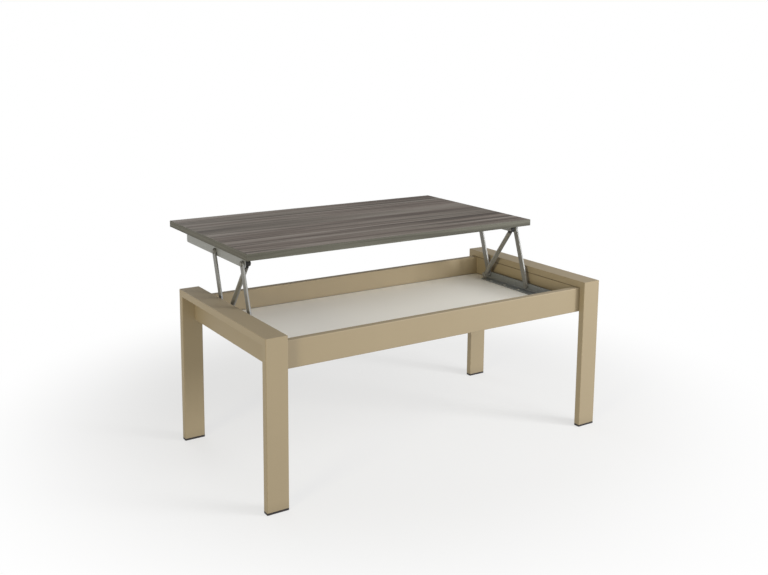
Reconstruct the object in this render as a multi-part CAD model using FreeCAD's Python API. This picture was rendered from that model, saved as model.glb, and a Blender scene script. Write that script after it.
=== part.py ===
import FreeCAD, Part
import math
import os

# Lift-top coffee table, shown with the top raised to dining height.
# Millimetres. Origin on the floor under the centre of the frame.
# +X runs along the table, +Y to the side that the raised top moves to, +Z up.

# Overall frame
table_length = 1100.0
table_depth = 548.0
table_height = 447.0

# Steel tube of the legs and of the bridges that join them
tube_width = 60.0
tube_thickness = 20.0
tube_wall = 1.5
tube_corner_radius = 2.0

# Steel tube of the four rails round the tray
rail_height = 72.0
rail_thickness = 20.0
end_rail_recess = 1.5

# Plastic feet pushed into the legs
foot_base_height = 6.0
foot_base_chamfer = 0.5
foot_insert_height = 20.0
foot_insert_wall = 2.0
foot_insert_clearance = 1.0
foot_fin_thickness = 1.2
foot_fin_clearance = 0.2
foot_fin_count = 3

# Tray floor, the tabs welded under it and their screws
floor_thickness = 12.0
floor_clearance = 0.3
tab_length = 40.0
tab_reach = 25.0
tab_thickness = 3.0
tab_corner = 8.0
tab_setback = 0.5
tabs_per_long_rail = 3
tabs_per_end_rail = 2
floor_screw_length = 10.0
floor_screw_diameter = 3.5
floor_screw_head = 7.0

# Lifting top: board, edge bands and the gaps round it when it is closed
top_thickness = 19.0
top_end_gap = 6.6
top_side_inset = 0.5
top_closed_gap = 0.5
band_thickness = 2.0
band_edge_radius = 0.8

# Linkage: setbacks from the long rails are those of the closed upper front pivot and the lower rear pivot
arm_width = 18.0
arm_thickness = 5.0
arm_edge_chamfer = 0.4
raised_lean = 18.2
lower_pivot_height = 17.5
upper_pivot_drop = 19.0
front_pivot_setback = 16.7
rear_pivot_setback = 88.5

# Folded steel brackets on the tray floor and under the top
bracket_thickness = 3.0
bracket_bend_radius = 3.0
bracket_corner_radius = 6.0
bracket_standoff = 12.5
base_bracket_wall = 25.0
base_bracket_flange = 29.0
base_bracket_front_gap = 59.0
base_bracket_end_margin = 14.5
top_bracket_wall = 30.0
top_bracket_flange = 28.0
top_bracket_rear_gap = 100.0
top_bracket_end_margin = 11.0

# Bracket screws
bracket_screw_length = 9.0
bracket_screw_diameter = 4.0
bracket_screw_head = 8.0
bracket_screw_setback = 8.0
base_screw_front_end = 22.0
base_screw_rear_end = 45.0
base_bracket_screws = 5
top_screw_end = 16.0
top_bracket_screws = 5
screw_head_height = 2.4
screw_head_radius = 1.4
screw_tip_length = 3.5
screw_tip_diameter = 0.5
screw_recess_width = 1.0
screw_recess_length = 4.0
screw_recess_depth = 1.2
screw_clearance = 0.1

# Pivot pins, washers and clips
pin_diameter = 8.0
pin_head_diameter = 14.0
pin_head_height = 3.0
pin_head_radius = 1.8
pin_rivet_diameter = 12.5
pin_rivet_height = 1.8
pin_clearance = 0.05
spacer_diameter = 12.5
washer_diameter = 16.0
washer_thickness = 0.8
side_clearance = 0.1
clip_diameter = 13.0
clip_thickness = 1.2
clip_groove_depth = 1.0
clip_mouth = 5.0
pin_end_length = 1.5

# Telescopic strut across each linkage
strut_diameter = 14.0
strut_wall = 1.5
strut_side_gap = 2.4
strut_base_thickness = 6.0
eye_radius = 8.0
eye_width = 12.0
eye_neck_diameter = 11.0
eye_neck_length = 2.5
rod_diameter = 8.0
rod_socket_depth = 4.0
rod_running_clearance = 0.08
gland_length = 12.0
gland_cap_thickness = 2.0
piston_length = 10.0
piston_bottom_clearance = 5.0
strut_closing_gap = 1.5

# Places worked out from the sizes above
half_length = table_length / 2
half_depth = table_depth / 2
rail_top = table_height - tube_thickness
rail_bottom = rail_top - rail_height
leg_inner_x = half_length - tube_width
leg_inner_y = half_depth - tube_thickness
end_rail_inner_x = leg_inner_x + end_rail_recess
rail_inner_y = leg_inner_y - rail_thickness
floor_bottom = rail_bottom + tab_setback + tab_thickness
floor_top = floor_bottom + floor_thickness

top_length = 2 * (leg_inner_x - top_end_gap)
top_depth = table_depth - 2 * top_side_inset
top_closed_bottom = rail_top + top_closed_gap

# The closed linkage fills the room between its outermost pivots: an arm's reach and the distance
# between the two arms of a side, which is as long as an arm
lower_pivot_z = floor_top + lower_pivot_height
closed_rise = top_closed_bottom - upper_pivot_drop - lower_pivot_z
linkage_room = 2 * rail_inner_y - front_pivot_setback - rear_pivot_setback
arm_length = (linkage_room ** 2 + closed_rise ** 2) / (2 * linkage_room)

# The arms lean past upright when raised, and lie almost flat when closed
closed_reach = -math.sqrt(arm_length ** 2 - closed_rise ** 2)
raised_angle = 90.0 - raised_lean
closed_angle = math.degrees(math.atan2(closed_rise, closed_reach))
lift_travel = closed_angle - raised_angle
raised_reach = arm_length * math.cos(math.radians(raised_angle))
raised_rise = arm_length * math.sin(math.radians(raised_angle))
top_shift = raised_reach - closed_reach
upper_pivot_z = lower_pivot_z + raised_rise
top_bottom = upper_pivot_z + upper_pivot_drop
front_pivot_y = -rail_inner_y + front_pivot_setback - closed_reach
rear_pivot_y = front_pivot_y + arm_length
upper_front_y = front_pivot_y + raised_reach
upper_rear_y = rear_pivot_y + raised_reach

# Ends of the brackets
base_bracket_front = base_bracket_front_gap - rail_inner_y
base_bracket_rear = rear_pivot_y + base_bracket_end_margin
base_bracket_length = base_bracket_rear - base_bracket_front
top_bracket_front = upper_front_y - top_bracket_end_margin
top_bracket_rear = top_shift + top_depth / 2 - top_bracket_rear_gap
top_bracket_length = top_bracket_rear - top_bracket_front

# Bores shared by the pieces of the linkage
pin_bore = pin_diameter + 2 * pin_clearance
strut_bore = strut_diameter - 2 * strut_wall

# Sideways stack of one linkage, from the end rail towards the middle
washer_gap = washer_thickness + 2 * side_clearance
wall_outer_x = end_rail_inner_x - bracket_standoff
wall_inner_x = wall_outer_x - bracket_thickness
arm_outer_x = wall_inner_x - washer_gap
arm_inner_x = arm_outer_x - arm_thickness
web_outer_x = arm_inner_x - washer_gap
web_inner_x = web_outer_x - bracket_thickness
strut_x = web_inner_x - strut_side_gap - strut_diameter / 2
eye_outer_x = strut_x + eye_width / 2
eye_inner_x = strut_x - eye_width / 2
clip_outer_x = eye_inner_x - side_clearance
clip_inner_x = clip_outer_x - clip_thickness

# With equal sides the linkage is a rhombus, so the strut halves its angle
strut_tilt = raised_angle / 2
strut_raised = 2 * arm_length * math.sin(math.radians(strut_tilt))

# Distances along the strut: the cylinder's from its lower pin, the rod's from its upper pin
cylinder_mouth = strut_raised - eye_radius - eye_neck_length - strut_closing_gap - gland_cap_thickness
rod_start = eye_radius + eye_neck_length - rod_socket_depth
rod_end = strut_raised - eye_radius - strut_base_thickness - piston_bottom_clearance

X_AXIS = FreeCAD.Vector(1, 0, 0)
Y_AXIS = FreeCAD.Vector(0, 1, 0)
Z_AXIS = FreeCAD.Vector(0, 0, 1)
ORIGIN = FreeCAD.Vector(0, 0, 0)


def vector(x, y, z):
    """Point or direction from its three coordinates."""
    return FreeCAD.Vector(x, y, z)


def block(x_span, y_span, z_span):
    """Box between two values on each axis."""
    low = vector(x_span[0], y_span[0], z_span[0])
    return Part.makeBox(x_span[1] - x_span[0], y_span[1] - y_span[0], z_span[1] - z_span[0], low)


def edges_along(shape, direction):
    """Straight edges of a shape that run along a direction."""
    found = []
    for edge in shape.Edges:
        if edge.Curve.TypeId == "Part::GeomLine":
            if abs(abs(edge.Curve.Direction.dot(direction)) - 1) < 1e-6:
                found.append(edge)
    return found


def edges_at(edges, axis, value):
    """Those of some edges whose middle has a given coordinate."""
    return [edge for edge in edges if abs(getattr(edge.CenterOfMass, axis) - value) < 1e-4]


def solid_bar(width, depth, length, radius):
    """Upright bar centred on the Z axis, with rounded long edges."""
    bar = block((-width / 2, width / 2), (-depth / 2, depth / 2), (0, length))
    if radius <= 0:
        return bar
    return bar.makeFillet(radius, edges_along(bar, Z_AXIS))


def hollow_bar(width, depth, length):
    """Upright length of rectangular steel tube, centred on the Z axis."""
    outer = solid_bar(width, depth, length, tube_corner_radius)
    inner_radius = max(tube_corner_radius - tube_wall, 0)
    inner = solid_bar(width - 2 * tube_wall, depth - 2 * tube_wall, length, inner_radius)
    return outer.cut(inner)


def cross_cylinder(diameter, x_start, x_end, y, z):
    """Cylinder along X between two values of X, in either order."""
    low = min(x_start, x_end)
    return Part.makeCylinder(diameter / 2, abs(x_end - x_start), vector(low, y, z), X_AXIS)


def ring(outer_diameter, inner_diameter, x_start, x_end, y, z):
    """Flat ring along X."""
    outer = cross_cylinder(outer_diameter, x_start, x_end, y, z)
    return outer.cut(cross_cylinder(inner_diameter, x_start, x_end, y, z))


def mirrored(shape):
    """The same piece at the left end of the table."""
    return shape.mirror(ORIGIN, X_AXIS)


def spread(first, last, count):
    """Evenly spaced values from first to last."""
    return [first + (last - first) * i / (count - 1) for i in range(count)]


def mitre_wedge(side):
    """Everything above the 45 degree joint between a leg and its bridge."""
    corner_y = side * half_depth
    inner_y = side * (half_depth - 2 * tube_thickness)
    outline = [
        vector(-half_length, corner_y, table_height),
        vector(-half_length, inner_y, table_height),
        vector(-half_length, inner_y, table_height - 2 * tube_thickness),
    ]
    face = Part.Face(Part.makePolygon(outline + outline[:1]))
    return face.extrude(vector(table_length, 0, 0))


def make_leg(end, side):
    """Leg tube, mitred at its top."""
    tube = hollow_bar(tube_width, tube_thickness, table_height - foot_base_height)
    x = end * (half_length - tube_width / 2)
    y = side * (half_depth - tube_thickness / 2)
    tube.translate(vector(x, y, foot_base_height))
    return tube.cut(mitre_wedge(side))


def make_bridge(end):
    """Flat tube across the top of a pair of legs, mitred at both ends."""
    tube = hollow_bar(tube_width, tube_thickness, table_depth)
    tube.rotate(ORIGIN, X_AXIS, -90)
    x = end * (half_length - tube_width / 2)
    tube.translate(vector(x, -half_depth, table_height - tube_thickness / 2))
    x_span = (-half_length, half_length)
    z_span = (rail_top, table_height)
    front_end = block(x_span, (-half_depth, -leg_inner_y), z_span).cut(mitre_wedge(-1))
    rear_end = block(x_span, (leg_inner_y, half_depth), z_span).cut(mitre_wedge(1))
    return tube.cut([front_end, rear_end])


def make_foot(end, side):
    """Plastic foot: a base under the tube and a finned hollow insert inside it."""
    base = solid_bar(tube_width, tube_thickness, foot_base_height, tube_corner_radius)
    lower_edges = edges_at(base.Edges, "z", 0)
    base = base.makeChamfer(foot_base_chamfer, lower_edges)
    room = 2 * (tube_wall + foot_insert_clearance)
    insert_width = tube_width - room
    insert_depth = tube_thickness - room
    insert = solid_bar(insert_width, insert_depth, foot_insert_height, 0)
    insert.translate(vector(0, 0, foot_base_height))
    fin_room = 2 * (tube_wall + foot_fin_clearance)
    foot = base.fuse(insert)
    step = foot_insert_height / foot_fin_count
    for i in range(foot_fin_count):
        fin = solid_bar(tube_width - fin_room, tube_thickness - fin_room, foot_fin_thickness, 0)
        fin.translate(vector(0, 0, foot_base_height + step * (i + 0.5)))
        foot = foot.fuse(fin)
    hollow = solid_bar(
        insert_width - 2 * foot_insert_wall, insert_depth - 2 * foot_insert_wall, foot_insert_height, 0)
    hollow.translate(vector(0, 0, foot_base_height))
    foot = foot.cut(hollow).removeSplitter()
    x = end * (half_length - tube_width / 2)
    foot.translate(vector(x, side * (half_depth - tube_thickness / 2), 0))
    return foot


def make_long_rail(side):
    """Rail along the front or the rear, between the end rails."""
    tube = hollow_bar(rail_height, rail_thickness, 2 * end_rail_inner_x)
    tube.rotate(ORIGIN, Y_AXIS, 90)
    y = side * (leg_inner_y - rail_thickness / 2)
    tube.translate(vector(-end_rail_inner_x, y, rail_top - rail_height / 2))
    return tube


def make_end_rail(end):
    """Rail under a bridge, welded between its legs."""
    tube = hollow_bar(rail_thickness, rail_height, 2 * leg_inner_y)
    tube.rotate(ORIGIN, X_AXIS, -90)
    x = end * (end_rail_inner_x + rail_thickness / 2)
    tube.translate(vector(x, -leg_inner_y, rail_top - rail_height / 2))
    return tube


def closed_rim(shape, axis, value):
    """Round edges of a turned shape at a given place along its axis."""
    return edges_at([edge for edge in shape.Edges if edge.Closed], axis, value)


def screw(diameter, length, head_diameter):
    """Pan head screw along -Z, with the underside of its head on the origin."""
    head = Part.makeCylinder(head_diameter / 2, screw_head_height)
    head = head.makeFillet(screw_head_radius, closed_rim(head, "z", screw_head_height))
    shank_length = length - screw_tip_length
    shank = Part.makeCylinder(diameter / 2, shank_length, ORIGIN, Z_AXIS * -1)
    tip = Part.makeCone(
        diameter / 2, screw_tip_diameter / 2, screw_tip_length, vector(0, 0, -shank_length), Z_AXIS * -1)
    long_span = (-screw_recess_length / 2, screw_recess_length / 2)
    short_span = (-screw_recess_width / 2, screw_recess_width / 2)
    z_span = (screw_head_height - screw_recess_depth, screw_head_height)
    cross = [block(long_span, short_span, z_span), block(short_span, long_span, z_span)]
    return head.fuse([shank, tip]).cut(cross).removeSplitter()


def screw_hole(diameter, length, x, y, z, up):
    """Blind hole that a screw turns into, from a surface at z."""
    depth = length + screw_clearance
    direction = Z_AXIS if up else Z_AXIS * -1
    return Part.makeCylinder(diameter / 2 + screw_clearance, depth, vector(x, y, z), direction)


def place_screw(shape, x, y, z, up):
    """Screw driven down at a point, or up from below."""
    placed = shape.copy()
    if up:
        placed.rotate(ORIGIN, X_AXIS, 180)
    placed.translate(vector(x, y, z))
    return placed


def tab_places():
    """Centre of each floor tab's screw, and the direction of the rail that carries it."""
    long_reach = rail_inner_y - tab_reach / 2
    end_reach = end_rail_inner_x - tab_reach / 2
    places = []
    for side in (-1, 1):
        for x in spread(-end_rail_inner_x / 2, end_rail_inner_x / 2, tabs_per_long_rail):
            places.append((x, side * long_reach, 0, side))
    for end in (-1, 1):
        for y in spread(-rail_inner_y / 2, rail_inner_y / 2, tabs_per_end_rail):
            places.append((end * end_reach, y, end, 0))
    return places


def make_tab(x, y, end, side):
    """Flat steel tab with cut corners, welded to a rail under the tray floor."""
    half = tab_length / 2
    reach = tab_reach / 2
    outline = [
        vector(-half, reach, 0),
        vector(-half, tab_corner - reach, 0),
        vector(tab_corner - half, -reach, 0),
        vector(half - tab_corner, -reach, 0),
        vector(half, tab_corner - reach, 0),
        vector(half, reach, 0),
    ]
    plate = Part.Face(Part.makePolygon(outline + outline[:1])).extrude(vector(0, 0, tab_thickness))
    hole = Part.makeCylinder(floor_screw_diameter / 2 + screw_clearance, tab_thickness)
    tab = plate.cut(hole)
    tab.rotate(ORIGIN, Z_AXIS, math.degrees(math.atan2(-end, side)))
    tab.translate(vector(x, y, floor_bottom - tab_thickness))
    return tab


def base_screw_places():
    """X and Y of the screws of the right base bracket."""
    x = wall_outer_x - base_bracket_flange + bracket_screw_setback
    first = base_bracket_front + base_screw_front_end
    last = base_bracket_rear - base_screw_rear_end
    return [(x, y) for y in spread(first, last, base_bracket_screws)]


def top_screw_places():
    """X and Y of the screws of the right top bracket."""
    x = web_outer_x - top_bracket_flange + bracket_screw_setback
    first = top_bracket_front + top_screw_end
    last = top_bracket_rear - top_screw_end
    return [(x, y) for y in spread(first, last, top_bracket_screws)]


def bracket_screw_bores(places, z):
    """Clearance holes of a bracket's screws through its flange, from a level upwards."""
    radius = bracket_screw_diameter / 2 + screw_clearance
    return [Part.makeCylinder(radius, bracket_thickness, vector(x, y, z)) for x, y in places]


def bracket_pilot_holes(places, z, up):
    """Blind holes in a board for the screws of the brackets at both ends."""
    depth = bracket_screw_length - bracket_thickness
    return [screw_hole(bracket_screw_diameter, depth, end * x, y, z, up)
            for x, y in places for end in (-1, 1)]


def make_tray_floor():
    """Tray panel with the pilot holes of its screws."""
    half_x = end_rail_inner_x - floor_clearance
    half_y = rail_inner_y - floor_clearance
    panel = block((-half_x, half_x), (-half_y, half_y), (floor_bottom, floor_top))
    depth = floor_screw_length - tab_thickness
    below = [screw_hole(floor_screw_diameter, depth, x, y, floor_bottom, True)
             for x, y, _, _ in tab_places()]
    return panel.cut(below + bracket_pilot_holes(base_screw_places(), floor_top, False))


def folded_angle(wall_height, flange_width, length):
    """Folded steel angle along +Y: flange on z = 0 towards -X, wall up at x = 0."""
    wall = block((-bracket_thickness, 0), (0, length), (0, wall_height))
    flange = block((-flange_width, 0), (0, length), (0, bracket_thickness))
    angle = wall.fuse(flange).removeSplitter()
    inner = edges_at(edges_along(angle, Y_AXIS), "x", -bracket_thickness)
    inner = edges_at(inner, "z", bracket_thickness)
    angle = angle.makeFillet(bracket_bend_radius, inner)
    outer = edges_at(edges_at(edges_along(angle, Y_AXIS), "x", 0), "z", 0)
    angle = angle.makeFillet(bracket_bend_radius, outer)
    ends = edges_at(edges_along(angle, X_AXIS), "z", wall_height)
    angle = angle.makeFillet(bracket_corner_radius, ends)
    corners = edges_at(edges_along(angle, Z_AXIS), "x", -flange_width)
    return angle.makeFillet(bracket_corner_radius, corners)


def make_base_bracket():
    """Right angle bracket on the tray floor that carries the lower pivots."""
    bracket = folded_angle(base_bracket_wall, base_bracket_flange, base_bracket_length)
    bracket.translate(vector(wall_outer_x, base_bracket_front, floor_top))
    pin_holes = [cross_cylinder(pin_bore, wall_inner_x, wall_outer_x, y, lower_pivot_z)
                 for y in (front_pivot_y, rear_pivot_y)]
    return bracket.cut(pin_holes + bracket_screw_bores(base_screw_places(), floor_top))


def make_top_bracket():
    """Right angle bracket under the top that carries the upper pivots."""
    bracket = folded_angle(top_bracket_wall, top_bracket_flange, top_bracket_length)
    bracket = bracket.mirror(ORIGIN, Z_AXIS)
    bracket.translate(vector(web_outer_x, top_bracket_front, top_bottom))
    pin_holes = [cross_cylinder(pin_bore, web_inner_x, web_outer_x, y, upper_pivot_z)
                 for y in (upper_front_y, upper_rear_y)]
    return bracket.cut(pin_holes + bracket_screw_bores(top_screw_places(), top_bottom - bracket_thickness))


def make_arm(pivot_y):
    """Right flat arm with round ends and a bore at each end."""
    straight = block((0, arm_thickness), (-arm_width / 2, arm_width / 2), (0, arm_length))
    ends = [cross_cylinder(arm_width, 0, arm_thickness, 0, z) for z in (0, arm_length)]
    arm = straight.fuse(ends).removeSplitter()
    rims = edges_at(arm.Edges, "x", 0) + edges_at(arm.Edges, "x", arm_thickness)
    arm = arm.makeChamfer(arm_edge_chamfer, rims)
    arm = arm.cut([cross_cylinder(pin_bore, 0, arm_thickness, 0, z) for z in (0, arm_length)])
    arm.rotate(ORIGIN, X_AXIS, -raised_lean)
    arm.translate(vector(arm_inner_x, pivot_y, lower_pivot_z))
    return arm


def pin(x_head, x_grip_end, x_end, y, z, end_diameter):
    """Pivot pin with a domed head at x_head, running towards -X, and a formed or plain end."""
    head = cross_cylinder(pin_head_diameter, x_head, x_head + pin_head_height, y, z)
    head = head.makeFillet(pin_head_radius, closed_rim(head, "x", x_head + pin_head_height))
    shank = cross_cylinder(pin_diameter, x_grip_end, x_head, y, z)
    end = cross_cylinder(end_diameter, x_end, x_grip_end, y, z)
    return head.fuse([shank, end]).removeSplitter()


def rivet(x_head, x_grip_end, y, z):
    """Pin whose inner end is set into a flat rivet head."""
    return pin(x_head, x_grip_end, x_grip_end - pin_rivet_height, y, z, pin_rivet_diameter)


def strut_pin(x_head, y, z):
    """Long pin that also carries a strut, with a groove for its clip."""
    body = pin(x_head, clip_inner_x, clip_inner_x - pin_end_length, y, z, pin_diameter)
    groove_diameter = pin_diameter - 2 * clip_groove_depth
    return body.cut(ring(pin_diameter, groove_diameter, clip_inner_x, clip_outer_x, y, z))


def make_clip(y, z):
    """Open ring in the groove of a strut pin."""
    bore = pin_diameter - 2 * clip_groove_depth + 2 * pin_clearance
    clip = ring(clip_diameter, bore, clip_inner_x, clip_outer_x, y, z)
    y_span = (y - clip_mouth / 2, y + clip_mouth / 2)
    return clip.cut(block((clip_inner_x, clip_outer_x), y_span, (z - clip_diameter, z)))


def strut_local(shape, y, z):
    """Turn a piece made along +Z at the origin into the strut's line, at a pin."""
    shape.rotate(ORIGIN, X_AXIS, strut_tilt)
    shape.translate(vector(strut_x, y, z))
    return shape


def eye(neck_length, neck_diameter):
    """Round eye across X at the origin, with a neck along +Z."""
    barrel = cross_cylinder(2 * eye_radius, -eye_width / 2, eye_width / 2, 0, 0)
    neck = Part.makeCylinder(neck_diameter / 2, eye_radius + neck_length)
    return barrel.fuse(neck)


def eye_bore():
    """Pin hole of an eye at the origin."""
    return cross_cylinder(pin_bore, -eye_width / 2, eye_width / 2, 0, 0)


def turned(diameter, z_start, z_end):
    """Round bar along Z between two heights."""
    return Part.makeCylinder(diameter / 2, z_end - z_start, vector(0, 0, z_start))


def make_cylinder():
    """Right strut cylinder: a tube closed at its base, with the lower eye."""
    tube = turned(strut_diameter, eye_radius, cylinder_mouth)
    tube = tube.makeFillet(strut_wall, closed_rim(tube, "z", eye_radius))
    bore = turned(strut_bore, eye_radius + strut_base_thickness, cylinder_mouth)
    body = tube.fuse(eye(strut_wall, eye_neck_diameter)).cut([bore, eye_bore()]).removeSplitter()
    return strut_local(body, rear_pivot_y, lower_pivot_z)


def make_gland():
    """Right guide ring in the mouth of the cylinder, with a cap over its rim."""
    start = cylinder_mouth - gland_length
    end = cylinder_mouth + gland_cap_thickness
    plug = turned(strut_bore - 2 * pin_clearance, start, cylinder_mouth)
    cap = turned(strut_diameter, cylinder_mouth, end)
    bore = turned(rod_diameter + 2 * rod_running_clearance, start, end)
    gland = plug.fuse(cap).cut(bore).removeSplitter()
    return strut_local(gland, rear_pivot_y, lower_pivot_z)


def make_rod():
    """Right strut rod, from its socket in the upper eye to the far side of the piston."""
    return strut_local(turned(rod_diameter, -rod_end, -rod_start), upper_front_y, upper_pivot_z)


def make_piston():
    """Right piston on the end of the rod."""
    span = (-rod_end, piston_length - rod_end)
    piston = turned(strut_bore - 2 * rod_running_clearance, *span)
    bore = turned(rod_diameter + 2 * pin_clearance, *span)
    return strut_local(piston.cut(bore), upper_front_y, upper_pivot_z)


def make_top_eye():
    """Right plastic eye on the upper end of the rod."""
    socket = turned(rod_diameter + 2 * pin_clearance, rod_start, rod_start + rod_socket_depth)
    body = eye(eye_neck_length, eye_neck_diameter).cut([eye_bore(), socket]).removeSplitter()
    body.rotate(ORIGIN, X_AXIS, 180)
    return strut_local(body, upper_front_y, upper_pivot_z)


def make_band(x_span, y_span, axis, outer):
    """Edge band of the raised top, rounded along the two edges at its outer face."""
    band = block(x_span, y_span, (top_bottom, top_bottom + top_thickness))
    direction = Y_AXIS if axis == "x" else X_AXIS
    return band.makeFillet(band_edge_radius, edges_at(edges_along(band, direction), axis, outer))


def make_top():
    """Board of the lifting top and its four edge bands, raised."""
    half_x = top_length / 2
    front = top_shift - top_depth / 2
    rear = top_shift + top_depth / 2
    core_x = half_x - band_thickness
    core_y = (front + band_thickness, rear - band_thickness)
    panel = block((-core_x, core_x), core_y, (top_bottom, top_bottom + top_thickness))
    return {
        "top_panel": panel.cut(bracket_pilot_holes(top_screw_places(), top_bottom, True)),
        "front_edge_band": make_band((-half_x, half_x), (front, core_y[0]), "y", front),
        "rear_edge_band": make_band((-half_x, half_x), (core_y[1], rear), "y", rear),
        "left_edge_band": make_band((-half_x, -core_x), core_y, "x", -half_x),
        "right_edge_band": make_band((core_x, half_x), core_y, "x", half_x),
    }


def both_ends(shapes):
    """Group of like pieces at the right end and their twins at the left."""
    return Part.makeCompound(shapes + [mirrored(shape) for shape in shapes])


def make_frame():
    """Welded steel frame and its feet."""
    nodes = {}
    for end, end_name in ((-1, "left"), (1, "right")):
        for side, side_name in ((-1, "front"), (1, "rear")):
            nodes[f"{side_name}_{end_name}_leg"] = make_leg(end, side)
            nodes[f"{side_name}_{end_name}_foot"] = make_foot(end, side)
        nodes[f"{end_name}_bridge_rail"] = make_bridge(end)
        nodes[f"{end_name}_end_rail"] = make_end_rail(end)
    nodes["front_rail"] = make_long_rail(-1)
    nodes["rear_rail"] = make_long_rail(1)
    return nodes


def make_tray():
    """Tray floor with the tabs and screws that hold it."""
    under = screw(floor_screw_diameter, floor_screw_length, floor_screw_head)
    tabs = []
    screws = []
    for x, y, end, side in tab_places():
        tabs.append(make_tab(x, y, end, side))
        screws.append(place_screw(under, x, y, floor_bottom - tab_thickness, True))
    return {
        "tray_floor": make_tray_floor(),
        "floor_tabs": Part.makeCompound(tabs),
        "floor_screws": Part.makeCompound(screws),
    }


def make_brackets():
    """Brackets on the floor and under the top, with their screws."""
    fixing = screw(bracket_screw_diameter, bracket_screw_length, bracket_screw_head)
    base = make_base_bracket()
    top = make_top_bracket()
    base_level = floor_top + bracket_thickness
    top_level = top_bottom - bracket_thickness
    base_screws = [place_screw(fixing, x, y, base_level, False) for x, y in base_screw_places()]
    top_screws = [place_screw(fixing, x, y, top_level, True) for x, y in top_screw_places()]
    return {
        "right_base_bracket": base,
        "left_base_bracket": mirrored(base),
        "base_bracket_screws": both_ends(base_screws),
        "right_top_bracket": top,
        "left_top_bracket": mirrored(top),
        "top_bracket_screws": both_ends(top_screws),
    }


def make_arms():
    """Four arms of the two linkages."""
    nodes = {}
    for name, pivot_y in (("front", front_pivot_y), ("rear", rear_pivot_y)):
        arm = make_arm(pivot_y)
        nodes[f"right_{name}_arm"] = arm
        nodes[f"left_{name}_arm"] = mirrored(arm)
    return nodes


def make_pivots():
    """Pins, washers, spacers and clips of the pivots."""
    lower_washer_x = (wall_inner_x - side_clearance, arm_outer_x + side_clearance)
    upper_washer_x = (arm_inner_x - side_clearance, web_outer_x + side_clearance)
    lower_washers = [ring(washer_diameter, pin_bore, *lower_washer_x, y, lower_pivot_z)
                     for y in (front_pivot_y, rear_pivot_y)]
    upper_washers = [ring(washer_diameter, pin_bore, *upper_washer_x, y, upper_pivot_z)
                     for y in (upper_front_y, upper_rear_y)]
    eye_side = eye_outer_x + side_clearance
    lower_end = arm_inner_x - side_clearance
    upper_head = arm_outer_x + side_clearance
    lower_spacer = ring(spacer_diameter, pin_bore, eye_side, lower_end, rear_pivot_y, lower_pivot_z)
    upper_spacer = ring(spacer_diameter, pin_bore, eye_side, web_inner_x, upper_front_y, upper_pivot_z)
    return {
        "lower_front_pins": both_ends([rivet(wall_outer_x, lower_end, front_pivot_y, lower_pivot_z)]),
        "lower_rear_pins": both_ends([strut_pin(wall_outer_x, rear_pivot_y, lower_pivot_z)]),
        "upper_front_pins": both_ends([strut_pin(upper_head, upper_front_y, upper_pivot_z)]),
        "upper_rear_pins": both_ends([rivet(upper_head, web_inner_x, upper_rear_y, upper_pivot_z)]),
        "lower_washers": both_ends(lower_washers),
        "upper_washers": both_ends(upper_washers),
        "lower_strut_spacers": both_ends([lower_spacer]),
        "upper_strut_spacers": both_ends([upper_spacer]),
        "lower_strut_clips": both_ends([make_clip(rear_pivot_y, lower_pivot_z)]),
        "upper_strut_clips": both_ends([make_clip(upper_front_y, upper_pivot_z)]),
    }


def make_struts():
    """Two telescopic struts."""
    nodes = {}
    pieces = {
        "strut_cylinder": make_cylinder(),
        "strut_gland": make_gland(),
        "strut_rod": make_rod(),
        "strut_piston": make_piston(),
        "strut_top_eye": make_top_eye(),
    }
    for name, shape in pieces.items():
        nodes[f"right_{name}"] = shape
        nodes[f"left_{name}"] = mirrored(shape)
    return nodes


def main():
    """Build every node and write it as a STEP file."""
    nodes = {}
    for make in (make_frame, make_tray, make_top, make_brackets, make_arms, make_pivots, make_struts):
        nodes.update(make())
    os.makedirs("parts", exist_ok=True)
    for name, shape in nodes.items():
        shape.exportStep(f"parts/{name}.step")
    return nodes


main()
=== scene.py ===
import logging
import math
from dataclasses import dataclass, field, replace
from enum import Enum
from typing import Iterable, Mapping, Optional, Union

import bmesh
import bpy
from mathutils import Matrix, Vector


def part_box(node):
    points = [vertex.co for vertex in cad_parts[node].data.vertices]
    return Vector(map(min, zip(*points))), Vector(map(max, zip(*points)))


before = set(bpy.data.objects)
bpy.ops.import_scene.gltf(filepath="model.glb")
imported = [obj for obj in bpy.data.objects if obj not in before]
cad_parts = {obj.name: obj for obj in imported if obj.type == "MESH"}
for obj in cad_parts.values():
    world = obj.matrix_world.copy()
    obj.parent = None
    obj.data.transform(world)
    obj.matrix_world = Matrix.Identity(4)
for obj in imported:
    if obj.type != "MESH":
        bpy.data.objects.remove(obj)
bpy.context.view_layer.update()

TRAY_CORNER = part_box("tray_floor")[1]
END_RAIL_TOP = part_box("left_end_rail")[1][2]
LOG = logging.getLogger("lift_top_table")

# Sizes are in metres (the camera's sensor in millimetres), angles in degrees, colours in linear light
Colour = tuple[float, float, float]
Triple = tuple[float, float, float]

# Mean of a noise, which runs from 0 to 1
NOISE_MEAN = 0.5
WHITE = (1.0, 1.0, 1.0, 1.0)


class GrainWay(Enum):
    """Direction in which the wood grain of a surface runs."""

    ALONG_X = "along_x"
    ALONG_Y = "along_y"


class End(Enum):
    """End of the table, by the start of its nodes' names."""

    LEFT = "left"
    RIGHT = "right"


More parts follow.
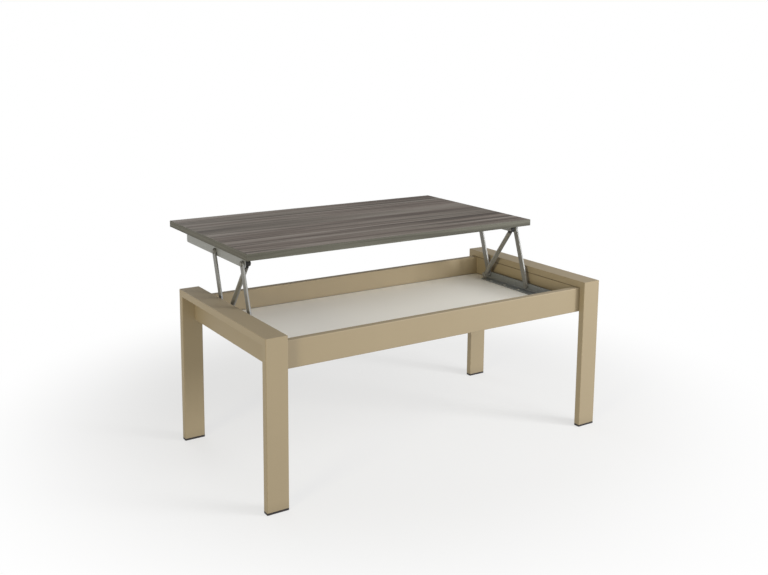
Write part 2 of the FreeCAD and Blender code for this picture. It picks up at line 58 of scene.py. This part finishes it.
class Wire:
    """Socket of a shader node, with arithmetic that adds Math nodes."""

    def __init__(self, graph: "Graph", socket: bpy.types.NodeSocket) -> None:
        """Keep the graph and the socket."""
        self.graph = graph
        self.socket = socket

    def _math(self, operation: str, first: "Feed", second: "Feed") -> "Wire":
        """Add one Math node of two values."""
        return self.graph.add("ShaderNodeMath", {"operation": operation}, {0: first, 1: second})

    def __add__(self, other: "Feed") -> "Wire":
        """Sum."""
        return self._math("ADD", self, other)

    def __radd__(self, other: "Feed") -> "Wire":
        """Sum with a number first."""
        return self._math("ADD", other, self)

    def __sub__(self, other: "Feed") -> "Wire":
        """Difference."""
        return self._math("SUBTRACT", self, other)

    def __rsub__(self, other: "Feed") -> "Wire":
        """Difference with a number first."""
        return self._math("SUBTRACT", other, self)

    def __mul__(self, other: "Feed") -> "Wire":
        """Product."""
        return self._math("MULTIPLY", self, other)

    def __rmul__(self, other: "Feed") -> "Wire":
        """Product with a number first."""
        return self._math("MULTIPLY", other, self)

    def __truediv__(self, other: "Feed") -> "Wire":
        """Quotient."""
        return self._math("DIVIDE", self, other)

    def __rtruediv__(self, other: "Feed") -> "Wire":
        """Quotient with a number first."""
        return self._math("DIVIDE", other, self)

    def __pow__(self, other: "Feed") -> "Wire":
        """Power."""
        return self._math("POWER", self, other)

    def __rpow__(self, other: "Feed") -> "Wire":
        """Power with a number first."""
        return self._math("POWER", other, self)


Feed = Union[Wire, float, tuple]


class Graph:
    """Node tree that is written as expressions."""

    def __init__(self, tree: bpy.types.NodeTree) -> None:
        """Start from an empty tree."""
        self.tree = tree
        tree.nodes.clear()

    def add(
        self,
        kind: str,
        settings: Mapping[str, object],
        inputs: Mapping[Union[str, int], Feed],
        output: Union[str, int] = 0,
    ) -> Wire:
        """Add one node.

        Args:
            kind: Type name of the node.
            settings: Properties of the node; "stops" are a colour ramp's places and colours.
            inputs: Value or wire of each socket that is set, by its name or place.
            output: Name or place of the socket that is returned.

        Returns:
            The wire from the chosen output.
        """
        node = self.tree.nodes.new(kind)
        for name, value in settings.items():
            if name == "stops":
                self._set_stops(node.color_ramp, value)
            else:
                setattr(node, name, value)
        for key, value in inputs.items():
            if isinstance(value, Wire):
                self.tree.links.new(value.socket, node.inputs[key])
            else:
                node.inputs[key].default_value = value
        return Wire(self, node.outputs[output] if node.outputs else None)

    @staticmethod
    def _set_stops(ramp: bpy.types.ColorRamp, stops: Iterable[tuple[float, Colour]]) -> None:
        """Give a colour ramp its stops.

        Args:
            ramp: Colour ramp, with two stops or more.
            stops: Place and colour of each stop, in order.
        """
        places = list(stops)
        while len(ramp.elements) < len(places):
            ramp.elements.new(1.0)
        for element, (place, colour) in zip(ramp.elements, places):
            element.position = place
            element.color = (*colour, 1.0)

    def place(self) -> Wire:
        """Point of the surface in the object's own coordinates, in metres."""
        return self.add("ShaderNodeTexCoord", {}, {}, "Object")

    def parts(self, vector: Wire) -> tuple[Wire, Wire, Wire]:
        """Split a vector.

        Args:
            vector: Vector or coordinates.

        Returns:
            Its three values.
        """
        split = self.add("ShaderNodeSeparateXYZ", {}, {0: vector})
        outputs = split.socket.node.outputs
        return split, Wire(self, outputs[1]), Wire(self, outputs[2])

    def vector(self, x: Feed, y: Feed, z: Feed) -> Wire:
        """Join three values into a vector."""
        return self.add("ShaderNodeCombineXYZ", {}, {0: x, 1: y, 2: z})

    def turned(self, vector: Wire, degrees: Triple, scale: Triple) -> Wire:
        """Turn and stretch coordinates.

        Args:
            vector: Coordinates.
            degrees: Angle about each axis.
            scale: Factor along each axis.

        Returns:
            The new coordinates.
        """
        angles = tuple(math.radians(angle) for angle in degrees)
        inverse = tuple(1 / value for value in scale)
        inputs = {0: vector, "Rotation": angles, "Scale": inverse}
        return self.add("ShaderNodeMapping", {"vector_type": "TEXTURE"}, inputs)

    def noise(self, vector: Wire, scale: float = 1.0, detail: float = 2.0, rough: float = 0.5) -> Wire:
        """Soft noise from 0 to 1.

        Args:
            vector: Coordinates.
            scale: Cells per unit of the coordinates.
            detail: Number of finer layers.
            rough: Strength of the finer layers.

        Returns:
            The noise value.
        """
        inputs = {"Vector": vector, "Scale": scale, "Detail": detail, "Roughness": rough}
        return self.add("ShaderNodeTexNoise", {}, inputs)

    def step(self, value: Wire, low: float, high: float) -> Wire:
        """Rise smoothly from 0 at low to 1 at high."""
        settings = {"interpolation_type": "SMOOTHSTEP", "clamp": True}
        return self.add("ShaderNodeMapRange", settings, {0: value, 1: low, 2: high})

    def mix(self, factor: Feed, first: Feed, second: Feed) -> Wire:
        """Blend two colours.

        Args:
            factor: Share of the second colour.
            first: Colour at a share of 0.
            second: Colour at a share of 1.

        Returns:
            The blend.
        """
        colours = [(*c, 1.0) if isinstance(c, tuple) else c for c in (first, second)]
        # The node's colour sockets come after those for numbers and vectors
        inputs = {0: factor, 6: colours[0], 7: colours[1]}
        return self.add("ShaderNodeMix", {"data_type": "RGBA"}, inputs, 2)

    def scaled(self, colour: Feed, tone: Wire) -> Wire:
        """Make a colour lighter or darker by a value."""
        return self.add("ShaderNodeVectorMath", {"operation": "SCALE"}, {0: colour, "Scale": tone})

    def bump(self, height: Wire, distance: float) -> Wire:
        """Turn a height from 0 to 1 into a normal, with its real depth in metres."""
        return self.add("ShaderNodeBump", {}, {"Height": height, "Distance": distance, "Strength": 1.0})


@dataclass(frozen=True)
class Finish:
    """Surface finish with a procedural material of its own."""

    name: str

    def surface(self, graph: Graph) -> dict[str, Feed]:
        """Work out the inputs of the surface shader.

        Args:
            graph: Node tree of the material.

        Returns:
            Value or wire of each shader socket, by its name.
        """
        raise NotImplementedError

    def material(self) -> bpy.types.Material:
        """Material of this finish, made once.

        Returns:
            The material.
        """
        found = bpy.data.materials.get(self.name)
        if found is not None:
            return found
        made = bpy.data.materials.new(self.name)
        made.use_nodes = True
        graph = Graph(made.node_tree)
        shader = graph.add("ShaderNodeBsdfPrincipled", {}, self.surface(graph))
        graph.add("ShaderNodeOutputMaterial", {}, {"Surface": shader})
        return made


@dataclass(frozen=True)
class PowderCoat(Finish):
    """Satin powder coat on steel, with a painted shade line just under a joint where it has a shade line
    height.
    """

    colour: Colour = (0.344, 0.280, 0.183)
    roughness: float = 0.46
    sheen: float = 0.28
    cloud_size: float = 0.16
    cloud_detail: float = 3.0
    cloud_depth: float = 0.07
    cloud_roughness: float = 0.12
    speck_size: float = 0.0011
    speck_detail: float = 1.0
    speck_depth: float = 0.16
    peel_size: float = 0.0022
    peel_detail: float = 1.5
    peel_height: float = 0.00006
    dust_height: float = 0.035
    dust_depth: float = 0.10
    dust_roughness: float = 0.1
    shade_line_height: Optional[float] = None
    shade_line_width: float = 0.004
    shade_line_depth: float = 0.6

    def surface(self, graph: Graph) -> dict[str, Feed]:
        """Work out the inputs of the surface shader.

        Args:
            graph: Node tree of the material.

        Returns:
            Value or wire of each shader socket, by its name.
        """
        place = graph.place()
        height = graph.parts(place)[2]
        cloud = graph.noise(place, 1 / self.cloud_size, self.cloud_detail) - NOISE_MEAN
        speck = graph.noise(place, 1 / self.speck_size, self.speck_detail) - NOISE_MEAN
        peel = graph.noise(place, 1 / self.peel_size, self.peel_detail)
        dust = 1 - graph.step(height, 0.0, self.dust_height)
        tone = 1 + cloud * self.cloud_depth + speck * self.speck_depth - dust * self.dust_depth
        # Painted shade: a dark line just below the given height stands in for the shade in the recessed
        # joint under the bridge tube
        if self.shade_line_height is not None:
            joint_shade = graph.step(height, self.shade_line_height - self.shade_line_width, self.shade_line_height)
            tone = tone - joint_shade * self.shade_line_depth
        return {
            "Base Color": graph.scaled(self.colour, tone),
            "Roughness": self.roughness + cloud * self.cloud_roughness + dust * self.dust_roughness,
            "Specular IOR Level": self.sheen,
            "Normal": graph.bump(peel, self.peel_height),
        }


@dataclass(frozen=True)
class Mark:
    """Kind of mark in the wood grain; the shift keeps its noise apart from that of the other kinds."""

    length: float
    width: float
    detail: float
    shift: float


@dataclass(frozen=True)
class WoodGrain(Finish):
    """Wood-grain laminate: bands, long dark streaks, fibres and pores."""

    dark: Colour = (0.097, 0.074, 0.060)
    dark_tone: float = 0.40
    middle: Colour = (0.186, 0.151, 0.127)
    middle_tone: float = 0.50
    light: Colour = (0.301, 0.267, 0.238)
    light_tone: float = 0.60
    way: GrainWay = GrainWay.ALONG_X
    roughness: float = 0.52
    sheen: float = 0.25
    grain_height: float = 0.00005
    fineness: float = 0.55
    wave_length: float = 0.5
    wave_height: float = 0.022
    wave_detail: float = 1.0
    band: Mark = Mark(length=1.1, width=0.042, detail=1.0, shift=3.0)
    band_share: float = 0.31
    streak: Mark = Mark(length=0.85, width=0.014, detail=2.0, shift=11.0)
    streak_share: float = 0.45
    fibre: Mark = Mark(length=0.08, width=0.0018, detail=2.0, shift=23.0)
    fibre_share: float = 0.24
    fibre_roughness: float = 0.16
    patch: Mark = Mark(length=1.1, width=0.084, detail=1.0, shift=53.0)
    patch_start: float = 0.44
    patch_end: float = 0.60
    cool: Colour = (0.180, 0.170, 0.140)
    cool_share: float = 0.3
    line: Mark = Mark(length=0.75, width=0.016, detail=1.0, shift=71.0)
    line_fray: float = 0.25
    line_start: float = 0.57
    line_end: float = 0.65
    vein: Colour = (0.048, 0.036, 0.027)
    vein_share: float = 0.8
    pore: Mark = Mark(length=0.013, width=0.0011, detail=1.0, shift=37.0)
    pore_start: float = 0.62
    pore_end: float = 0.74
    pore_share: float = 0.4
    pore_roughness: float = 0.1
    pore_sink: float = 0.6

    def _drawn(self, graph: Graph, mark: Mark) -> Wire:
        """Noise drawn out along the grain.

        Args:
            graph: Node tree of the material.
            mark: Kind of mark that the noise makes.

        Returns:
            The noise value.
        """
        x, y, z = graph.parts(graph.place())
        along, across = (x, y) if self.way is GrainWay.ALONG_X else (y, x)
        wave = graph.noise(graph.place(), 1 / self.wave_length, self.wave_detail) - NOISE_MEAN
        side = across + z + wave * self.wave_height
        stretched = graph.vector(along / mark.length + mark.shift, side / mark.width, mark.shift)
        return graph.noise(stretched, detail=mark.detail, rough=self.fineness)

    def surface(self, graph: Graph) -> dict[str, Feed]:
        """Work out the inputs of the surface shader.

        Args:
            graph: Node tree of the material.

        Returns:
            Value or wire of each shader socket, by its name.
        """
        band = self._drawn(graph, self.band)
        streak = self._drawn(graph, self.streak)
        fibre = self._drawn(graph, self.fibre)
        fray = fibre - NOISE_MEAN
        tone = band * self.band_share + streak * self.streak_share + fibre * self.fibre_share
        stops = (
            (self.dark_tone, self.dark),
            (self.middle_tone, self.middle),
            (self.light_tone, self.light),
        )
        wood = graph.add("ShaderNodeValToRGB", {"stops": stops}, {0: tone})
        patches = graph.step(self._drawn(graph, self.patch), self.patch_start, self.patch_end)
        greyed = graph.mix(patches * self.cool_share, wood, self.cool)
        line = self._drawn(graph, self.line) + fray * self.line_fray
        veins = graph.step(line, self.line_start, self.line_end)
        lined = graph.mix(veins * self.vein_share, greyed, self.vein)
        pores = graph.step(self._drawn(graph, self.pore), self.pore_start, self.pore_end)
        return {
            "Base Color": graph.mix(pores * self.pore_share, lined, self.vein),
            "Roughness": self.roughness + fray * self.fibre_roughness + pores * self.pore_roughness,
            "Specular IOR Level": self.sheen,
            "Normal": graph.bump(fibre - pores * self.pore_sink, self.grain_height),
        }


@dataclass(frozen=True)
class Melamine(Finish):
    """Off-white melamine board with a fine pearl structure and a painted shade band round its edges,
    where it meets the rails.
    """

    half_length: float
    half_depth: float
    colour: Colour = (0.980, 0.958, 0.884)
    roughness: float = 0.42
    pearl_size: float = 0.0018
    pearl_height: float = 0.00005
    pearl_depth: float = 0.04
    pearl_roughness: float = 0.12
    cloud_size: float = 0.22
    cloud_detail: float = 3.0
    cloud_depth: float = 0.035
    edge_shade_width: float = 0.009
    edge_shade_depth: float = 0.85

    def _inside(self, graph: Graph, place: Wire, half: float) -> Wire:
        """Share of the board's own colour along one axis, which falls to 0 at both edges."""
        return graph.step(half - (place * place) ** 0.5, 0.0, self.edge_shade_width)

    def surface(self, graph: Graph) -> dict[str, Feed]:
        """Work out the inputs of the surface shader.

        Args:
            graph: Node tree of the material.

        Returns:
            Value or wire of each shader socket, by its name.
        """
        place = graph.place()
        x, y, _ = graph.parts(place)
        cloud = graph.noise(place, 1 / self.cloud_size, self.cloud_detail) - NOISE_MEAN
        pearl = graph.noise(place, 1 / self.pearl_size)
        grit = pearl - NOISE_MEAN
        # Painted shadow: a dark band along the board's edges stands in for the shade in the gap against
        # the rails
        edge_shade = 1 - self._inside(graph, x, self.half_length) * self._inside(graph, y, self.half_depth)
        tone = 1 + cloud * self.cloud_depth + grit * self.pearl_depth - edge_shade * self.edge_shade_depth
        return {
            "Base Color": graph.scaled(self.colour, tone),
            "Roughness": self.roughness + grit * self.pearl_roughness,
            "Normal": graph.bump(pearl, self.pearl_height),
        }


@dataclass(frozen=True)
class PlatedSteel(Finish):
    """Zinc plated steel with rolling lines and a mottled plate."""

    colour: Colour = (0.208, 0.209, 0.204)
    metallic: float = 0.3
    roughness: float = 0.46
    line_turn: float = 0.0
    line_width: float = 0.0007
    line_length: float = 0.06
    line_height: float = 0.00003
    line_depth: float = 0.25
    line_roughness: float = 0.15
    spangle_size: float = 0.009
    spangle_depth: float = 0.35
    spangle_roughness: float = 0.2

    def surface(self, graph: Graph) -> dict[str, Feed]:
        """Work out the inputs of the surface shader.

        Args:
            graph: Node tree of the material.

        Returns:
            Value or wire of each shader socket, by its name.
        """
        place = graph.place()
        scale = (1 / self.line_width, 1 / self.line_width, 1 / self.line_length)
        lines = graph.noise(graph.turned(place, (self.line_turn, 0.0, 0.0), scale))
        streak = lines - NOISE_MEAN
        spangle = graph.noise(place, 1 / self.spangle_size) - NOISE_MEAN
        tone = 1 + spangle * self.spangle_depth + streak * self.line_depth
        return {
            "Base Color": graph.scaled(self.colour, tone),
            "Metallic": self.metallic,
            "Roughness": self.roughness + spangle * self.spangle_roughness + streak * self.line_roughness,
            "Normal": graph.bump(lines, self.line_height),
        }


@dataclass(frozen=True)
class MouldedPlastic(Finish):
    """Moulded plastic with a spark-eroded grain and rubbed patches."""

    colour: Colour = (0.018, 0.015, 0.012)
    roughness: float = 0.55
    sheen: float = 0.5
    grain_size: float = 0.0006
    grain_height: float = 0.00004
    grain_depth: float = 0.3
    grain_roughness: float = 0.1
    rub_size: float = 0.014
    rub_detail: float = 3.0
    rub_depth: float = 0.6
    rub_start: float = 0.55
    rub_end: float = 0.7
    rub_polish: float = 0.12

    def surface(self, graph: Graph) -> dict[str, Feed]:
        """Work out the inputs of the surface shader.

        Args:
            graph: Node tree of the material.

        Returns:
            Value or wire of each shader socket, by its name.
        """
        place = graph.place()
        grain = graph.noise(place, 1 / self.grain_size)
        grit = grain - NOISE_MEAN
        rub = graph.noise(place, 1 / self.rub_size, self.rub_detail)
        tone = 1 + (rub - NOISE_MEAN) * self.rub_depth + grit * self.grain_depth
        polish = graph.step(rub, self.rub_start, self.rub_end) * self.rub_polish
        return {
            "Base Color": graph.scaled(self.colour, tone),
            "Roughness": self.roughness - polish + grit * self.grain_roughness,
            "Specular IOR Level": self.sheen,
            "Normal": graph.bump(grain, self.grain_height),
        }


LACQUER = PowderCoat("champagne_powder_coat")
TOP_LAMINATE = WoodGrain("grey_walnut_laminate")
LONG_BAND = replace(
    TOP_LAMINATE,
    name="edge_band_long",
    dark=(0.071, 0.068, 0.053),
    middle=(0.099, 0.097, 0.077),
    light=(0.137, 0.135, 0.111),
    vein=(0.074, 0.071, 0.056),
    cool_share=0.2,
    band=replace(TOP_LAMINATE.band, width=0.012),
    patch=replace(TOP_LAMINATE.patch, width=0.024),
    streak=replace(TOP_LAMINATE.streak, width=0.006),
)
# Painted shade: the bands on the table's ends are a darker copy of the long bands, standing in for the
# shade on the end faces
SHADED_CROSS_BAND = replace(
    LONG_BAND,
    name="edge_band_cross_painted_shade",
    way=GrainWay.ALONG_Y,
    dark=(0.053, 0.049, 0.037),
    middle=(0.086, 0.082, 0.062),
    light=(0.124, 0.119, 0.094),
    vein=(0.050, 0.047, 0.036),
)
ARM_STEEL = PlatedSteel("plated_arm")
BRACKET_STEEL = PlatedSteel("plated_bracket", colour=(0.242, 0.258, 0.268))
CHANNEL_STEEL = PlatedSteel("plated_channel", colour=(0.282, 0.288, 0.280))
FASTENER_STEEL = PlatedSteel("plated_fastener", colour=(0.40, 0.39, 0.37), metallic=0.7, roughness=0.36)
PIN_STEEL = PlatedSteel("plated_pin", colour=(0.200, 0.197, 0.186), roughness=0.5)
STRUT_STEEL = PlatedSteel("coated_strut", colour=(0.218, 0.212, 0.192))
ROD_CHROME = PlatedSteel("chromed_rod", colour=(0.62, 0.62, 0.62), metallic=1.0, roughness=0.16)
GLAND_PLASTIC = MouldedPlastic("grey_gland", colour=(0.075, 0.074, 0.069))
BLACK_NYLON = MouldedPlastic("black_nylon")
WHITE_NYLON = MouldedPlastic("natural_nylon", colour=(0.52, 0.51, 0.47))
FOOT_PLASTIC = MouldedPlastic("foot_plastic", colour=(0.009, 0.007, 0.004), roughness=0.6, sheen=0.2)


def dress(nodes: Iterable[str], finish: Finish) -> None:
    """Give some CAD nodes a finish.

    Args:
        nodes: Names of the nodes.
        finish: Finish that they take.
    """
    for name in nodes:
        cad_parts[name].material_slots[0].material = finish.material()
        LOG.info("%s takes the finish %s", name, finish.name)


def at_both_ends(*names: str) -> list[str]:
    """Names of like nodes at the left and the right end."""
    return [f"{end.value}_{name}" for end in End for name in names]


@dataclass
class SteelFrame:
    """Legs, bridges, rails and feet."""

    sides: tuple[str, ...] = ("front", "rear")
    # Height of the painted shade line at the top of the end rails, under the bridge tubes
    shade_line_height: float = END_RAIL_TOP

    def dress(self) -> None:
        """Coat the tubes, and give the feet their plastic."""
        corners = [f"{side}_{end.value}" for side in self.sides for end in End]
        dress([f"{corner}_leg" for corner in corners], LACQUER)
        dress([f"{corner}_foot" for corner in corners], FOOT_PLASTIC)
        dress([f"{side}_rail" for side in self.sides], LACQUER)
        dress(at_both_ends("bridge_rail"), LACQUER)
        # The end rails' coat carries a painted shade line at their top, where they sit recessed under the
        # bridge tubes
        shade_lined_coat = replace(LACQUER, name="champagne_powder_coat_painted_shade", shade_line_height=self.shade_line_height)
        dress(at_both_ends("end_rail"), shade_lined_coat)


@dataclass
class Tray:
    """Tray floor with the tabs and screws that hold it."""

    half_length: float = TRAY_CORNER[0]
    half_depth: float = TRAY_CORNER[1]

    def dress(self) -> None:
        """Give the tray its board, coat and fasteners."""
        dress(["tray_floor"], Melamine("off_white_melamine", self.half_length, self.half_depth))
        dress(["floor_tabs"], LACQUER)
        dress(["floor_screws"], FASTENER_STEEL)


@dataclass
class LiftingTop:
    """Board that lifts, with its edge bands."""

    long_sides: tuple[str, ...] = ("front", "rear")

    def dress(self) -> None:
        """Give the board and its bands their wood grain."""
        dress(["top_panel"], TOP_LAMINATE)
        dress([f"{side}_edge_band" for side in self.long_sides], LONG_BAND)
        dress(at_both_ends("edge_band"), SHADED_CROSS_BAND)


@dataclass
class LiftLinkage:
    """Brackets, arms, pivots and struts of the two lift linkages."""

    levels: tuple[str, ...] = ("lower", "upper")
    # Turn about X of the fine rolling lines on the arms and on the struts
    arm_line_turn: float = 18.2
    strut_line_turn: float = -35.9

    def dress(self) -> None:
        """Give the linkage its plated steel, nylon and chrome."""
        dress(at_both_ends("front_arm", "rear_arm"), replace(ARM_STEEL, line_turn=self.arm_line_turn))
        dress(at_both_ends("base_bracket"), BRACKET_STEEL)
        dress(at_both_ends("top_bracket"), CHANNEL_STEEL)
        dress(at_both_ends("strut_cylinder"), replace(STRUT_STEEL, line_turn=self.strut_line_turn))
        dress(at_both_ends("strut_rod"), replace(ROD_CHROME, line_turn=self.strut_line_turn))
        dress(at_both_ends("strut_gland"), GLAND_PLASTIC)
        dress(at_both_ends("strut_piston", "strut_top_eye"), BLACK_NYLON)
        dress(["base_bracket_screws", "top_bracket_screws"], FASTENER_STEEL)
        for level in self.levels:
            dress([f"{level}_front_pins", f"{level}_rear_pins"], PIN_STEEL)
            dress([f"{level}_strut_clips", f"{level}_strut_spacers"], FASTENER_STEEL)
            dress([f"{level}_washers"], WHITE_NYLON)


@dataclass
class SoftBox:
    """Square studio lamp aimed at the middle of the table."""

    name: str
    place: Triple
    side: float
    watts: float
    colour: Colour = (1.0, 1.0, 1.0)
    aim: Triple = (0.0, 0.0, 0.3)

    def build(self) -> None:
        """Hang the lamp."""
        data = bpy.data.lights.new(self.name, "AREA")
        data.shape = "SQUARE"
        data.size = self.side
        data.energy = self.watts
        data.color = self.colour
        lamp = bpy.data.objects.new(self.name, data)
        bpy.context.scene.collection.objects.link(lamp)
        away = Vector(self.place) - Vector(self.aim)
        turn = away.to_track_quat("Z", "Y").to_matrix().to_4x4()
        lamp.matrix_world = Matrix.Translation(self.place) @ turn
        LOG.info("lamp %s hung", self.name)


@dataclass
class Studio:
    """Pale floor, white surroundings, lamps and camera."""

    floor_radius: float = 9.0
    floor_sides: int = 96
    floor_drop: float = 0.0004
    floor_colour: Colour = (0.68, 0.68, 0.68)
    floor_roughness: float = 0.6
    floor_sheen: float = 0.2
    floor_glow: float = 0.60
    fade_centre: tuple[float, float] = (0.10, 0.18)
    fade_start: float = 0.6
    fade_end: float = 1.35
    surroundings: float = 0.432
    image_width: float = 768.0
    sensor: float = 36.0
    focal_pixels: float = 968.957
    camera_place: Triple = (-1.526695, -2.270896, 1.150470)
    camera_azimuth: float = -33.221
    camera_elevation: float = 9.171
    camera_roll: float = 0.502
    camera_shift: float = -0.12
    lamps: list[SoftBox] = field(default_factory=lambda: [
        SoftBox("key_lamp", place=(1.3, -1.9, 1.8), side=1.2, watts=28.8),
        SoftBox("left_lamp", place=(-4.9, -2.4, 1.1), side=1.1, watts=114.7, colour=(1.0, 0.91, 0.63)),
        SoftBox("right_lamp", place=(2.8, -3.1, 1.6), side=1.0, watts=99.0),
        SoftBox("rear_lamp", place=(-0.4, 4.6, 1.4), side=2.4, watts=41.2),
    ])

    def build_floor(self) -> None:
        """Lay the floor, which fades to white away from the table."""
        mesh = bpy.data.meshes.new("studio_floor")
        shape = bmesh.new()
        bmesh.ops.create_circle(shape, cap_ends=True, segments=self.floor_sides, radius=self.floor_radius)
        bmesh.ops.translate(shape, verts=shape.verts, vec=(0.0, 0.0, -self.floor_drop))
        shape.to_mesh(mesh)
        shape.free()
        floor = bpy.data.objects.new("studio_floor", mesh)
        bpy.context.scene.collection.objects.link(floor)
        # The floor's own glow doesn't light the table, which would flatten its shading
        floor.visible_diffuse = False
        mesh.materials.append(self._floor_material())
        LOG.info("floor laid")

    def _floor_material(self) -> bpy.types.Material:
        """Matt pale paint that turns into the white of the surroundings.

        Returns:
            The material.
        """
        made = bpy.data.materials.new("studio_floor")
        made.use_nodes = True
        graph = Graph(made.node_tree)
        x, y, _ = graph.parts(graph.place())
        away_x = x - self.fade_centre[0]
        away_y = y - self.fade_centre[1]
        far = graph.step((away_x * away_x + away_y * away_y) ** 0.5, self.fade_start, self.fade_end)
        white = self.floor_glow + far * (1 - self.floor_glow)
        paint = graph.add("ShaderNodeBsdfPrincipled", {}, {
            "Base Color": (*self.floor_colour, 1.0),
            "Roughness": self.floor_roughness,
            "Specular IOR Level": self.floor_sheen,
        })
        glow = graph.add("ShaderNodeEmission", {}, {"Color": WHITE})
        both = graph.add("ShaderNodeMixShader", {}, {0: white, 1: paint, 2: glow})
        graph.add("ShaderNodeOutputMaterial", {}, {"Surface": both})
        return made

    def build_surroundings(self) -> None:
        """White surroundings that light the table softly."""
        world = bpy.data.worlds.new("studio")
        world.use_nodes = True
        bpy.context.scene.world = world
        graph = Graph(world.node_tree)
        seen = graph.add("ShaderNodeLightPath", {}, {}, "Is Camera Ray")
        lit = graph.add("ShaderNodeBackground", {}, {"Color": WHITE, "Strength": self.surroundings})
        backdrop = graph.add("ShaderNodeBackground", {}, {"Color": WHITE, "Strength": 1.0})
        both = graph.add("ShaderNodeMixShader", {}, {0: seen, 1: lit, 2: backdrop})
        graph.add("ShaderNodeOutputWorld", {}, {"Surface": both})

    def build_camera(self) -> None:
        """Camera at the photograph's viewing angle, with part of its lens shift."""
        data = bpy.data.cameras.new("camera")
        data.sensor_width = self.sensor
        data.lens = self.focal_pixels / self.image_width * self.sensor
        data.shift_y = self.camera_shift
        camera = bpy.data.objects.new("camera", data)
        bpy.context.scene.collection.objects.link(camera)
        azimuth = Matrix.Rotation(math.radians(self.camera_azimuth), 4, "Z")
        tilt = Matrix.Rotation(math.radians(90.0 - self.camera_elevation), 4, "X")
        roll = Matrix.Rotation(math.radians(self.camera_roll), 4, "Z")
        camera.matrix_world = Matrix.Translation(self.camera_place) @ azimuth @ tilt @ roll
        bpy.context.scene.camera = camera

    def build(self) -> None:
        """Set the whole studio up."""
        bpy.context.scene.view_settings.view_transform = "Standard"
        self.build_floor()
        self.build_surroundings()
        self.build_camera()
        for lamp in self.lamps:
            lamp.build()


def main() -> None:
    """Dress every sub-assembly and set up the studio."""
    logging.basicConfig(level=logging.INFO, format="%(name)s: %(message)s")
    for assembly in (SteelFrame(), Tray(), LiftingTop(), LiftLinkage()):
        assembly.dress()
    Studio().build()


if __name__ == "__main__":
    main()
